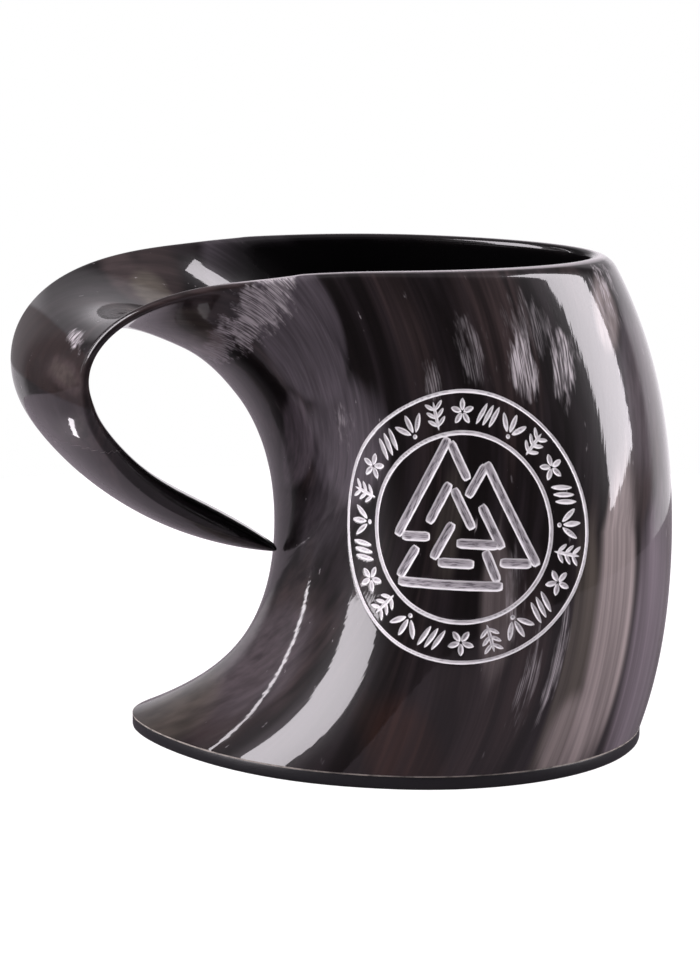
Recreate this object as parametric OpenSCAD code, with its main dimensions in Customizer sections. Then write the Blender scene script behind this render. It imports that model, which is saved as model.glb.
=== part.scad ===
// Horn drinking cup: one horn whose wall runs on past the mouth and rolls over as its own handle,
// glued on a thin base plate. Millimetres, +Z up, origin at the centre of the plate's underside.
// The handle lies on the -X side.

/* [Cup] */
// Height from the table to the rim
cup_height = 111.5; // [90:0.5:140]
// Length of the foot, along X
foot_length = 118; // [100:1:140]
// Depth of the foot, along Y
foot_depth = 94; // [80:1:110]
// Reach that draws the bulging side out from the centre
belly_reach = 66.4; // [60:0.2:75]
// Reach that the hollow side closes in on, from the centre
waist_reach = 22.9; // [16:0.1:28]
// How far the hollow side would flare out at the lip
lip_flare = 108; // [90:1:120]
// Depth of the mouth, along Y
mouth_depth = 73; // [60:1:90]
// How far the far end of the mouth lies from the centre
mouth_reach = 50; // [44:0.5:58]

/* [Wall] */
// Thickness of the horn wall
wall = 3; // [2:0.1:4]
// Thickness of the wall at the far end of the mouth
mouth_end_wall = 5; // [3:0.1:6]
// Height of the rounding on top of the rim
rim_crown = 0.8; // [0.3:0.1:1.5]
// Drop of the outer edge at the far end of the mouth
rim_drop = 2; // [0.8:0.1:3]

/* [Handle] */
// How far the handle stands out from the centre of the mouth
handle_reach = 84; // [76:0.5:96]
// Angle by which the handle swings towards the front
handle_swing = 20; // [0:1:30]
// Width of the strip where it leaves the mouth
handle_width = 67; // [58:1:80]
// Greatest thickness of the handle
handle_thickness = 9.3; // [7:0.1:11]
// Greatest thickness of the handle's two edges
edge_thickness = 5.2; // [4:0.1:6]
// Angle by which the handle's outer face turns towards the front
handle_roll = 11; // [0:1:16]
// How far the tip drifts towards the front
tip_drift = 4; // [0:0.5:6]
// Clearance between the tip and the horn's wall
tip_clearance = 0.3; // [0.2:0.1:2]

/* [Base] */
// Thickness of the base plate
plate_thickness = 3; // [2:0.1:5]
// Thickness of the adhesive between the plate and the horn
glue_thickness = 0.35; // [0.2:0.05:0.6]
// How far the adhesive and the plate's edge stand back from the horn's foot
plate_setback = 0.2; // [0:0.05:0.5]
// Height of the sealing bead in the inner corner
bead_height = 4; // [2:0.5:6]
// Width of the sealing bead on the plate
bead_width = 4; // [2:0.5:6]
// Clearance between the bead and the horn's wall
bead_clearance = 0.2; // [0.1:0.05:0.4]

/* [Hidden] */

// The foot of the horn stands on the adhesive
foot_z = plate_thickness + glue_thickness;
horn_rise = cup_height - foot_z;
half_foot = foot_length / 2;

// Levels are shares of the horn's rise, from the foot (0) to the rim (1).
// Bulging side: pulls between the foot and the mouth, as shares of belly_reach
belly_shares = [1.003, 0.998, 0.998, 0.95];
// Hollow side: how quickly the foot's flare dies away, and where and how quickly the lip's begins
foot_flare_share = 0.13;
lip_level_share = 0.962;
lip_flare_share = 0.118;
// Pulls of the widest place, as shares of half the foot, and of the depth between foot and mouth
widest_shares = [0.135, 0.37, 0.44, 0.245, -0.24];
depth_shares = [0, 0.05, 0.33, 0.71, 1];
// How much narrower than an oval the hollow side is, between the foot and the mouth
narrow_shares = [0.3, 0.3, 0.3, 0.3, 0.1, 0, 0];

// Rows of the horn from the foot up to the rim
row_shares = [
    0, 0.012, 0.04, 0.08, 0.125, 0.175, 0.23, 0.29, 0.36, 0.43,
    0.5, 0.57, 0.64, 0.71, 0.78, 0.85, 0.92, 0.965, 0.987, 1
];

// The strip takes the horn's columns from this angle on, on both sides of the hollow side
strip_angle = 100;
rim_steps = 30;
strip_steps = 22;
columns = rim_steps + strip_steps;
// Lowest place of the seam where the strip leaves the wall, as a share of the horn's rise
seam_share = 0.709;
// Share by which the strip's columns crowd towards its edges
crowd_share = 0.6;
// Rows between that seam and the strip's first station, and along the rest of the strip
join_rows = 7;
strip_rows = 32;
least_facing = 0.45;
least_turn = 1;
heading_step = 0.1;

// The handle's outer face at stations from the mouth to the tip: its middle, and the point midway
// between its two edges. Across, as shares of the way from the wall beside the tip out to
// handle_reach; up, as shares of cup_height
spine_shares = [
    [0.339, 0.846], [0.475, 0.881], [0.608, 0.903], [0.739, 0.906], [0.86, 0.876], [0.937, 0.82],
    [0.957, 0.756], [0.92, 0.694], [0.838, 0.633], [0.739, 0.574], [0.626, 0.523],
    [0.504, 0.48], [0.375, 0.446], [0.24, 0.421], [0.103, 0.405], [0, 0.4]
];
edge_shares = [
    [0.144, 0.9905], [0.346, 0.986], [0.551, 0.966], [0.722, 0.926], [0.829, 0.873], [0.883, 0.813],
    [0.883, 0.75], [0.852, 0.695], [0.795, 0.645], [0.709, 0.591], [0.604, 0.54],
    [0.485, 0.498], [0.359, 0.466], [0.23, 0.44], [0.098, 0.42], [0, 0.4045]
];
// At the same stations: half width, thickness in the middle and at the edges, roll and drift as
// shares of the handle's sizes, and how much fuller than a circle the trough is
girth_shares = [
    [1, 0.32, 0.48, 0, 0, 1.3],
    [0.994, 0.335, 0.45, 0, 0, 1.2],
    [0.965, 0.355, 0.42, 0.1, 0, 1.1],
    [0.917, 0.4, 0.4, 0.27, 0, 1],
    [0.863, 0.44, 0.39, 0.5, 0, 1],
    [0.818, 0.49, 0.4, 0.75, 0, 1],
    [0.774, 0.57, 0.45, 0.95, 0, 1],
    [0.714, 0.68, 0.56, 1, 0, 1],
    [0.654, 0.79, 0.67, 1, 0, 1],
    [0.589, 0.87, 0.77, 1, 0, 1],
    [0.506, 0.91, 0.87, 1, 0, 1],
    [0.432, 0.93, 0.95, 1, 0, 1],
    [0.357, 0.91, 1, 1, 0.05, 1],
    [0.277, 0.8, 0.88, 1, 0.25, 1],
    [0.179, 0.56, 0.58, 1, 0.65, 1],
    [0.048, 0.2, 0.2, 1, 1, 1]
];

// The hollow side turns with the handle between these places
swing_start_share = 0.17;
swing_length_share = 0.76;
swing_foot_share = 0.3;
swing_full_share = 0.68;

plate_steps = 2 * columns;
bead_steps = 3;
// Small steps that find a surface's direction
nudge = 0.5;
nudge_rise = wall / 10;

function unit(v) = v / norm(v);
function blend(a, b, t) = a * (1 - t) + b * t;
function ease(t) = let(c = max(0, min(1, t))) c * c * (3 - 2 * c);

function ease_curve(from, leave, to, arrive, t) =
    from * (1 + 2 * t) * (1 - t) * (1 - t) + leave * t * (1 - t) * (1 - t)
    + to * t * t * (3 - 2 * t) - arrive * t * t * (1 - t);

// Curve pulled towards a list of values, from the first of them to the last
function pulled(values, t) =
    len(values) == 1 ? values[0]
    : pulled([for (i = [0:len(values) - 2]) blend(values[i], values[i + 1], t)], t);

// Even curve along a list of stations, one unit of run from each to the next
function station(values, i) =
    i < 0 ? 2 * values[0] - values[1]
    : i >= len(values) ? 2 * values[len(values) - 1] - values[len(values) - 2]
    : values[i];
function along_stations(values, run) =
    let(i = min(floor(run), len(values) - 2), t = run - i)
    (
        station(values, i - 1) * pow(1 - t, 3)
        + station(values, i) * (3 * pow(t, 3) - 6 * pow(t, 2) + 4)
        + station(values, i + 1) * (1 + 3 * t + 3 * pow(t, 2) - 3 * pow(t, 3))
        + station(values, i + 2) * pow(t, 3)
    ) / 6;

// Level section of the horn: a long oval whose hollow side is narrower and moves with height
function level_share(z) = (z - foot_z) / horn_rise;
function belly_x(s) = pulled(concat(half_foot, belly_reach * belly_shares, mouth_reach), s);
function hollow_x(s) =
    waist_reach + (half_foot - waist_reach) * exp(-s / foot_flare_share)
    + lip_flare / (1 + exp((lip_level_share - s) / lip_flare_share));
function half_depth(s) = blend(foot_depth, mouth_depth, pulled(depth_shares, s)) / 2;
function horn_point(angle, z) =
    let(
        s = level_share(z),
        middle = half_foot * pulled(widest_shares, s),
        reach = cos(angle) > 0 ? belly_x(s) - middle : hollow_x(s) + middle,
        narrowing = pulled(narrow_shares, s) * pow(max(0, -cos(angle)), 3)
    )
    [middle + reach * cos(angle), half_depth(s) * sin(angle) * (1 - narrowing), z];

// Across the strip, from its back edge (1) to its front edge (-1)
function across(i) = let(t = 1 - 2 * i / strip_steps)
    crowd_share * sin(90 * t) + (1 - crowd_share) * t;
function column_across(j) = j <= rim_steps ? 1 : across(j - rim_steps);
function column_angle(j) =
    j <= rim_steps ? strip_angle * (2 * j / rim_steps - 1)
    : 180 - (180 - strip_angle) * column_across(j);
function rim_fall(j) =
    j <= rim_steps ? blend(rim_crown, rim_drop, pow(max(0, cos(column_angle(j))), 2))
    : rim_crown;
function column_top(j) =
    cup_height - rim_fall(j)
    - (j <= rim_steps ? 0 : horn_rise * (1 - seam_share) * (1 - pow(column_across(j), 2)));
function row_point(share, j) =
    horn_point(column_angle(j), foot_z + share * (column_top(j) - foot_z));

outer_rows = [for (share = row_shares) [for (j = [0:columns - 1]) row_point(share, j)]];
last_row = len(row_shares) - 1;

// Direction square to the horn's outer surface, and the level inset that gives a wall there
function facing_at(angle, z) =
    unit(
        cross(
            horn_point(angle + nudge, z) - horn_point(angle - nudge, z),
            horn_point(angle, z + nudge_rise) - horn_point(angle, z - nudge_rise)
        )
    );
function level_inset(facing) =
    let(flat_facing = [facing.x, facing.y, 0])
    -unit(flat_facing) / max(least_facing, norm(flat_facing));

function wall_at(i, j) =
    blend(
        wall, mouth_end_wall,
        pow(max(0, cos(column_angle(j))), 2) * ease(2 * row_shares[i] - 1)
    );
function inset(i, j) =
    let(
        facing = facing_at(column_angle(j), outer_rows[i][j].z),
        square = j <= rim_steps ? 0 : ease(row_shares[i]) * (1 - pow(column_across(j), 2))
    )
    wall_at(i, j) * blend(level_inset(facing), -facing, square);
inner_rows = [
    for (i = [0:last_row]) [for (j = [0:columns - 1]) outer_rows[i][j] + inset(i, j)]
];

tip_width = girth_shares[len(girth_shares) - 1][0] * handle_width;
tip_thickness = girth_shares[len(girth_shares) - 1][1] * handle_thickness;
tip_height = spine_shares[len(spine_shares) - 1].y * cup_height;
// How far the wall beside the tip reaches out, over the tip's width
function wall_beside_tip() =
    max([
        for (angle = [strip_angle:360 - strip_angle])
        let(p = turned(swung(horn_point(angle, tip_height)), -handle_swing))
        if (abs(p.y + tip_drift) < tip_width / 2) -p.x
    ]);
tip_reach = wall_beside_tip() + tip_clearance + tip_thickness / 2;
function side_view(share) =
    [-blend(tip_reach, handle_reach, share.x), 0, share.y * cup_height];
spine = [for (share = spine_shares) side_view(share)];
edge_middles = [for (share = edge_shares) side_view(share)];
last_station = len(spine) - 1;

// One row across the handle, at a number of stations from the first: outer face, finger side
function strip_row(run) =
    let(
        girth = along_stations(girth_shares, run),
        half_width = girth[0] * handle_width / 2,
        middle = girth[1] * handle_thickness,
        edge = girth[2] * edge_thickness,
        roll = girth[3] * handle_roll,
        centre = along_stations(edge_middles, run) - [0, girth[4] * tip_drift, 0],
        bow = along_stations(spine, run) - along_stations(edge_middles, run),
        heading = unit(
            along_stations(spine, min(run + heading_step, last_station))
            - along_stations(spine, max(run - heading_step, 0))
        ),
        out = [-heading.z, 0, heading.x],
        side = [0, cos(roll), 0] - sin(roll) * out,
        face = -cos(roll) * out - [0, sin(roll), 0],
        rise = bow * face,
        turn = max(least_turn, 2 * atan(abs(rise) / half_width) * girth[5]),
        wide = half_width / sin(turn),
        tall = rise / (1 - cos(turn))
    )
    [
        for (finger_side = [0, 1]) [
            for (i = [0:strip_steps])
            let(
                w = across(i),
                crest = 1 - (1 - cos(turn * w)) / (1 - cos(turn)),
                normal = unit(wide * cos(turn * w) * face + tall * sin(turn * w) * side)
            )
            centre + sin(turn * w) * wide * side + crest * bow
            - finger_side * blend(middle, edge, w * w) * normal
        ]
    ];

// The strip's rows between the seam on the wall and the first station
first_station = strip_row(0);
next_station = strip_row(last_station / strip_rows);
function seam_column(i) = (rim_steps + i) % columns;
function seam_leave(i) =
    let(
        j = seam_column(i),
        chord = first_station[1][i] - outer_rows[last_row][j],
        up = outer_rows[last_row][j] - outer_rows[last_row - 1][j],
        around = outer_rows[last_row][(j + 1) % columns]
            - outer_rows[last_row][(j + columns - 1) % columns],
        facing = unit(cross(around, up)),
        direction = chord - (chord * facing) * facing
    )
    unit(direction) * norm(chord);
function join_row(k) =
    [
        for (finger_side = [0, 1]) [
            for (i = [0:strip_steps])
            let(
                j = seam_column(i),
                start = finger_side == 1 ? outer_rows[last_row][j] : inner_rows[last_row][j],
                end = first_station[finger_side][i],
                chord = norm(end - start),
                arrive = unit(next_station[finger_side][i] - end) * chord
            )
            ease_curve(start, seam_leave(i), end, arrive, k / join_rows)
        ]
    ];
strip = concat(
    [for (k = [1:join_rows - 1]) join_row(k)],
    [for (k = [0:strip_rows]) strip_row(last_station * k / strip_rows)]
);

// Swing of the handle about the upright axis through the centre of the mouth
function swing_share(x) = ease((swing_start_share - x / half_foot) / swing_length_share);
function turned(p, angle) =
    [p.x * cos(angle) - p.y * sin(angle), p.x * sin(angle) + p.y * cos(angle), p.z];
function swung(p) =
    turned(
        p,
        handle_swing * swing_share(p.x)
        * ease((level_share(p.z) - swing_foot_share) / (swing_full_share - swing_foot_share))
    );
function swung_strip(p, k) =
    turned(p, handle_swing * (k > join_rows ? 1 : swing_share(p.x)));

// Points: outer wall, inner wall, rim crown, then the strip's rows with their edge points
function edge_crown(face, finger, away) =
    (face + finger) / 2 + unit(away) * norm(face - finger) * rim_crown / wall;
function rim_crown_point(j) =
    let(middle = (outer_rows[last_row][j] + inner_rows[last_row][j]) / 2)
    [middle.x, middle.y, outer_rows[last_row][j].z + rim_fall(j)];
function level_rim(p, j) = [p.x, p.y, cup_height - rim_crown];

outer_points = [for (row = outer_rows) for (p = row) swung(p)];
inner_points = [
    for (i = [0:last_row]) for (j = [0:columns - 1])
    swung(i == last_row && j <= rim_steps ? level_rim(inner_rows[i][j], j) : inner_rows[i][j])
];
crown_points = [for (j = [0:rim_steps]) swung(rim_crown_point(j))];
strip_width = strip_steps + 1;
strip_points = [
    for (k = [0:len(strip) - 1])
    let(face = strip[k][0], finger = strip[k][1])
    for (
        p = concat(
            face, finger,
            [
                edge_crown(face[0], finger[0], face[0] - face[1]),
                edge_crown(
                    face[strip_steps], finger[strip_steps],
                    face[strip_steps] - face[strip_steps - 1]
                )
            ]
        )
    )
    swung_strip(p, k + 1)
];
tip_point = let(row = strip[len(strip) - 1], middle = strip_steps / 2)
    swung_strip(
        (row[0][middle] + row[1][middle]) / 2
        + unit(row[1][middle] - strip[len(strip) - 2][1][middle])
        * norm(row[0][middle] - row[1][middle]) / 2,
        len(strip)
    );

inner_start = len(outer_points);
crown_start = inner_start + len(inner_points);
strip_start = crown_start + len(crown_points);
row_size = 2 * strip_width + 2;
tip_index = strip_start + len(strip_points);

function at_outer(i, j) = i * columns + (j % columns);
function at_inner(i, j) = inner_start + at_outer(i, j);
// Row 0 of the strip is the seam itself; side 0 is the outer face, 1 the finger side
function at_strip(k, side, i) =
    k == 0 ? (side == 1 ? at_outer(last_row, rim_steps + i) : at_inner(last_row, rim_steps + i))
    : strip_start + (k - 1) * row_size + side * strip_width + i;
function at_edge(k, end) =
    k == 0 ? crown_start + (end == 0 ? rim_steps : 0)
    : strip_start + (k - 1) * row_size + 2 * strip_width + end;

// Two triangles between four corners, counted clockwise as seen from outside
function two(a, b, c, d) = [[a, b, c], [a, c, d]];

horn_faces = [
    for (i = [0:last_row - 1]) for (j = [0:columns - 1])
        for (f = two(at_outer(i, j), at_outer(i + 1, j), at_outer(i + 1, j + 1), at_outer(i, j + 1))) f,
    for (i = [0:last_row - 1]) for (j = [0:columns - 1])
        for (f = two(at_inner(i, j), at_inner(i, j + 1), at_inner(i + 1, j + 1), at_inner(i + 1, j))) f,
    for (j = [0:columns - 1])
        for (f = two(at_outer(0, j), at_outer(0, j + 1), at_inner(0, j + 1), at_inner(0, j))) f,
    for (j = [0:rim_steps - 1])
        for (f = two(at_outer(last_row, j), crown_start + j, crown_start + j + 1,
            at_outer(last_row, j + 1))) f,
    for (j = [0:rim_steps - 1])
        for (f = two(crown_start + j, at_inner(last_row, j), at_inner(last_row, j + 1),
            crown_start + j + 1)) f,
    for (k = [0:len(strip) - 1]) for (i = [0:strip_steps - 1])
        for (f = two(at_strip(k, 1, i), at_strip(k + 1, 1, i), at_strip(k + 1, 1, i + 1),
            at_strip(k, 1, i + 1))) f,
    for (k = [0:len(strip) - 1]) for (i = [0:strip_steps - 1])
        for (f = two(at_strip(k, 0, i), at_strip(k, 0, i + 1), at_strip(k + 1, 0, i + 1),
            at_strip(k + 1, 0, i))) f,
    for (k = [0:len(strip) - 1])
        for (f = two(at_strip(k, 1, 0), at_edge(k, 0), at_edge(k + 1, 0), at_strip(k + 1, 1, 0))) f,
    for (k = [0:len(strip) - 1])
        for (f = two(at_edge(k, 0), at_strip(k, 0, 0), at_strip(k + 1, 0, 0), at_edge(k + 1, 0))) f,
    for (k = [0:len(strip) - 1])
        for (f = two(at_strip(k, 0, strip_steps), at_edge(k, 1), at_edge(k + 1, 1),
            at_strip(k + 1, 0, strip_steps))) f,
    for (k = [0:len(strip) - 1])
        for (f = two(at_edge(k, 1), at_strip(k, 1, strip_steps), at_strip(k + 1, 1, strip_steps),
            at_edge(k + 1, 1))) f,
    for (i = [0:strip_steps - 1]) [at_strip(len(strip), 1, i), tip_index, at_strip(len(strip), 1, i + 1)],
    for (i = [0:strip_steps - 1]) [at_strip(len(strip), 0, i + 1), tip_index, at_strip(len(strip), 0, i)],
    [at_strip(len(strip), 0, 0), tip_index, at_edge(len(strip), 0)],
    [at_edge(len(strip), 0), tip_index, at_strip(len(strip), 1, 0)],
    [at_strip(len(strip), 1, strip_steps), tip_index, at_edge(len(strip), 1)],
    [at_edge(len(strip), 1), tip_index, at_strip(len(strip), 0, strip_steps)]
];

module horn() {
    color([0.16, 0.14, 0.14])
    polyhedron(
        points = concat(outer_points, inner_points, crown_points, strip_points, [tip_point]),
        faces = horn_faces,
        convexity = 12
    );
}

// Foot outline of the horn, moved in by a distance
function foot_edge(angle, distance) =
    let(facing = facing_at(angle, foot_z), p = horn_point(angle, foot_z))
    [p.x, p.y] - distance * unit([facing.x, facing.y]);
function foot_outline(distance) =
    [for (i = [0:plate_steps - 1]) foot_edge(360 * i / plate_steps, distance)];

module base_plate() {
    color([0.05, 0.05, 0.05])
    linear_extrude(height = plate_thickness)
    polygon(foot_outline(plate_setback));
}

module glue_line() {
    color([0.85, 0.82, 0.74])
    translate([0, 0, plate_thickness])
    linear_extrude(height = glue_thickness)
    difference() {
        polygon(foot_outline(plate_setback));
        polygon(foot_outline(wall));
    }
}

// Section of the bead: up along the wall, then down its hollow face to its toe on the plate
bead_section = concat(
    [for (step = [0:bead_steps]) [0, step / bead_steps]],
    [for (step = [bead_steps - 1:-1:0]) [pow(1 - step / bead_steps, 2), step / bead_steps]]
);
function bead_point(angle, place) =
    let(
        z = plate_thickness + place.y * bead_height,
        facing = facing_at(angle, z),
        away = unit([facing.x, facing.y, 0])
    )
    horn_point(angle, z) + wall * level_inset(facing)
    - (bead_clearance + place.x * bead_width) * away;

module seal_bead() {
    size = len(bead_section);
    color([0.2, 0.18, 0.16])
    polyhedron(
        points = [
            for (j = [0:columns - 1]) for (place = bead_section) bead_point(column_angle(j), place)
        ],
        faces = [
            for (j = [0:columns - 1]) for (i = [0:size - 1])
            let(next = (j + 1) % columns, up = (i + 1) % size)
            for (f = two(j * size + i, j * size + up, next * size + up, next * size + i)) f
        ]
    );
}

horn();
base_plate();
glue_line();
seal_bead();
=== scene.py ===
"""Looks of the horn drinking cup, modelled round its packed construction model."""
import math

import bmesh
import bpy
import numpy as np
from bpy.props import FloatProperty, FloatVectorProperty, IntProperty, PointerProperty
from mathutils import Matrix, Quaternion, Vector
from mathutils.bvhtree import BVHTree


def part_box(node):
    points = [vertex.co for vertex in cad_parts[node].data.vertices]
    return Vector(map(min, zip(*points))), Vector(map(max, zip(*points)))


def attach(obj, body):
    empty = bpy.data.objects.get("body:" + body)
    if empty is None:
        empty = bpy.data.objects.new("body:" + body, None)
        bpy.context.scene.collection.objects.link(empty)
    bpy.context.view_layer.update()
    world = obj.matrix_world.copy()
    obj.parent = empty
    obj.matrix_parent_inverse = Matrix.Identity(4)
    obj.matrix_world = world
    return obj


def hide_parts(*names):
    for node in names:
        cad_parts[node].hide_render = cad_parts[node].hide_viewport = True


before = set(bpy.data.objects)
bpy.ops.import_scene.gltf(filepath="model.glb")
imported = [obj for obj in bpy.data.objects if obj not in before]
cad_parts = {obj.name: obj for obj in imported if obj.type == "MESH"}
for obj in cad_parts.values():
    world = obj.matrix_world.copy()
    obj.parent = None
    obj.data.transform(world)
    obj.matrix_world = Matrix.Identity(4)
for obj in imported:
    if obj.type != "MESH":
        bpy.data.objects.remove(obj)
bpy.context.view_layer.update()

bl_info = {
    "name": "Horn drinking cup",
    "version": (1, 0, 0),
    "blender": (4, 5, 0),
    "location": "3D View > Sidebar > Horn cup",
    "description": "Builds a carved drinking cup of polished horn on its base plate",
    "category": "Add Mesh",
}

MM = 0.001
TINY = 1e-6
WHITE = (1, 1, 1, 1)

# Settings shared by shader nodes
EASED = {"interpolation_type": "SMOOTHSTEP"}
BLEND = {"data_type": "RGBA"}
MULTIPLY_ADD = {"operation": "MULTIPLY_ADD"}

# Inputs whose names repeat are given by number. A Map Range takes 1 and 2 as the ends of what comes
# in, and 3 and 4 as the ends of what goes out. A colour Mix takes 0 as the share, 6 and 7 as the
# colours. Elsewhere 0, 1 and 2 are the values in order.


def linear(hex_colour):
    """Linear red, green and blue of an sRGB hex value."""
    parts = [int(hex_colour[i:i + 2], 16) / 255 for i in (0, 2, 4)]
    return tuple(p / 12.92 if p <= 0.04045 else ((p + 0.055) / 1.055) ** 2.4 for p in parts)


def length(name, description, millimetres):
    """A size property in metres, from its value in millimetres."""
    return FloatProperty(
        name=name, description=description, default=millimetres * MM, unit="LENGTH"
    )


def tint(name, description, hex_colour):
    """A colour property from an sRGB hex value."""
    return FloatVectorProperty(
        name=name, description=description, default=linear(hex_colour), subtype="COLOR",
        min=0, max=1,
    )


class HornCupSizes(bpy.types.PropertyGroup):
    """Sizes of the cup's finish and carving"""

    smoothing: IntProperty(
        name="Smoothing", description="Subdivision levels of the horn's surface", default=2
    )
    medallion_x: length("Medallion across", "Where the medallion's centre lies, along X", 21)
    medallion_height: length("Medallion height", "Height of the medallion's centre", 57.5)
    wrap_x: length("Wrap centre", "Centre, along X, of the round that the carving wraps", 17.4)
    wrap_radius: length("Wrap radius", "Radius of the round that the carving wraps", 45)
    outer_ring: length("Outer ring", "Radius of the medallion's outer ring", 28.9)
    inner_ring: length("Inner ring", "Radius of the medallion's inner ring", 20.2)
    outer_line: length("Outer line", "Width of the outer ring's cut", 0.8)
    inner_line: length("Inner line", "Width of the inner ring's cut", 0.95)
    motif_height: length("Motif height", "Height of the small motifs between the rings", 5.8)
    leaf_width: length("Leaf width", "Width of a single gouge cut", 1.2)
    knot_line: length("Knot line", "Width of the knot's cuts", 2.15)
    ring_depth: length("Ring depth", "Depth of the ring cuts", 0.25)
    leaf_depth: length("Leaf depth", "Depth of the gouge cuts", 0.3)
    knot_depth: length("Knot depth", "Depth of the knot's cuts", 0.45)
    plate_bevel: length("Plate bevel", "Rounding of the plate's lower edge", 0.8)
    plate_arris: length("Plate arris", "Rounding of the plate's upper edge", 0.15)


class HornCupColours(bpy.types.PropertyGroup):
    """Colours of the cup"""

    horn_dark: tint("Dark horn", "Nearly black body of the horn", "0F0A0B")
    # Painted shade: the inner wall is coloured near black for the shade inside the cup
    inside_shade: tint("Inside", "Black inside of the cup", "050405")
    horn_brown: tint("Brown horn", "Warm brown streaks in the horn", "382E2E")
    horn_umber: tint("Umber horn", "Dark brown band round the handle", "221817")
    horn_amber: tint("Amber horn", "Reddish brown near the foot", "45291D")
    horn_olive: tint("Olive horn", "Greenish grey patches", "59534B")
    horn_grey: tint("Grey horn", "Smoky grey streaks in the horn", "262023")
    horn_smoke: tint("Smoke", "Lilac grey where the horn is thinner", "585258")
    horn_lilac: tint("Lilac horn", "Lilac grey down the bulging side", "6E656C")
    horn_pale: tint("Pale horn", "Pale bands where the horn lets light in", "978C8A")
    # This white is also painted as a highlight along the lip's edge and on the handle
    horn_white_and_highlight: tint("White horn", "Ragged white flecks left under the polish", "C6C0C3")
    filler: tint("Filler", "Chalk rubbed into the carving", "B8B4B9")
    filler_edge: tint("Filler edge", "Clean chalk at the edges of the cuts", "F4F3F4")
    filler_worn: tint("Worn filler", "Chalk worn thin in the middle of the cuts", "5A565B")
    plate: tint("Plate", "Black base plate", "0F0F12")
    glue: tint("Glue", "Pale adhesive line", "9C958D")
    bead: tint("Bead", "Dark sealing bead", "17130F")
    floor: tint("Floor", "Pale floor", "857F84")
    lamp: tint("Lamp", "Faintly lilac light of the soft boxes", "FFF9FF")


class HornCupStage(bpy.types.PropertyGroup):
    """Camera and lights"""

    azimuth: FloatProperty(
        name="Azimuth", description="Angle of the camera round the cup", default=math.radians(6.5),
        subtype="ANGLE", unit="ROTATION",
    )
    elevation: FloatProperty(
        name="Elevation", description="Angle of the camera above the cup",
        default=math.radians(11.5), subtype="ANGLE", unit="ROTATION",
    )
    distance: length("Distance", "Distance of the camera from what it looks at", 700)
    aim_x: length("Aim across", "Where the camera looks, along X", -8)
    aim_z: length("Aim height", "Where the camera looks, upwards", 56.5)
    lens: FloatProperty(name="Lens", description="Focal length in millimetres", default=112.78)
    table_radius: length("Table", "Radius of the round table top", 320)
    near_distance: length("Near lights", "Distance of the left lights from the cup", 850)
    far_distance: length("Far light", "Distance of the right light from the cup", 1200)


def add_node(tree, kind, inputs=None, output=0, **settings):
    """Adds a node with its settings and links, and returns one of its outputs; each input is a
    value or another node's output."""
    node = tree.nodes.new(kind)
    for name, value in settings.items():
        setattr(node, name, value)
    for key, value in (inputs or {}).items():
        if isinstance(value, bpy.types.NodeSocket):
            tree.links.new(value, node.inputs[key])
        else:
            node.inputs[key].default_value = value
    return node.outputs[output] if node.outputs else None


def new_material(name):
    """An empty material with its surface shader and output."""
    material = bpy.data.materials.new(name)
    material.use_nodes = True
    tree = material.node_tree
    tree.nodes.clear()
    surface = add_node(tree, "ShaderNodeBsdfPrincipled")
    add_node(tree, "ShaderNodeOutputMaterial", {"Surface": surface})
    return material, tree, surface.node


def opaque(colour):
    """A colour with full alpha."""
    return (*colour, 1)


def fibre_noise(tree, fibre, across, along, detail, offset, aside):
    """Noise whose grains are so many millimetres across and along the horn's fibres, and aside
    times as wide to the side."""
    placed = add_node(
        tree, "ShaderNodeMapping",
        {
            0: fibre, "Location": (offset, 0, 0),
            "Scale": (1 / across, 1 / (across * aside), 1 / along),
        },
    )
    return add_node(
        tree, "ShaderNodeTexNoise", {0: placed, "Scale": 1, "Detail": detail, "Roughness": 0.55}
    )


def zone(tree, place, centre, reach, core):
    """1 near a centre among the fibres, easing to 0 at a reach each way, in millimetres; core is
    the share of the reach that stays 1."""
    placed = add_node(
        tree, "ShaderNodeMapping",
        {
            0: place, "Location": tuple(-c / r for c, r in zip(centre, reach)),
            "Scale": tuple(1 / r for r in reach),
        },
    )
    away = add_node(tree, "ShaderNodeVectorMath", {0: placed}, "Value", operation="LENGTH")
    return add_node(tree, "ShaderNodeMapRange", {0: away, 1: 1.0, 2: core}, **EASED)


# Grains of the horn: width across the fibres and length along them in millimetres, detail, where
# the pattern starts, and how many times as wide it is to the side. The real fibres are about
# 0.1 mm wide, too fine to show, so the finest are drawn 0.35 mm wide
GRAINS = {
    "broad": (13, 150, 2, 0, 1),
    "band": (5, 120, 2, 7, 1),
    "streak": (1.8, 80, 2, 19, 3),
    "line": (0.9, 35, 2, 71, 3),
    "hair": (0.5, 25, 1, 31, 3),
    "brush": (0.35, 14, 1, 43, 3),
    "cloud": (2.2, 6, 3, 57, 1),
}

# The band of umber horn round the handle, where the lacquer is duller: centre, reach and core
UMBER_BAND = ((32, 6, 176), (22, 60, 16), 0.85)

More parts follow.
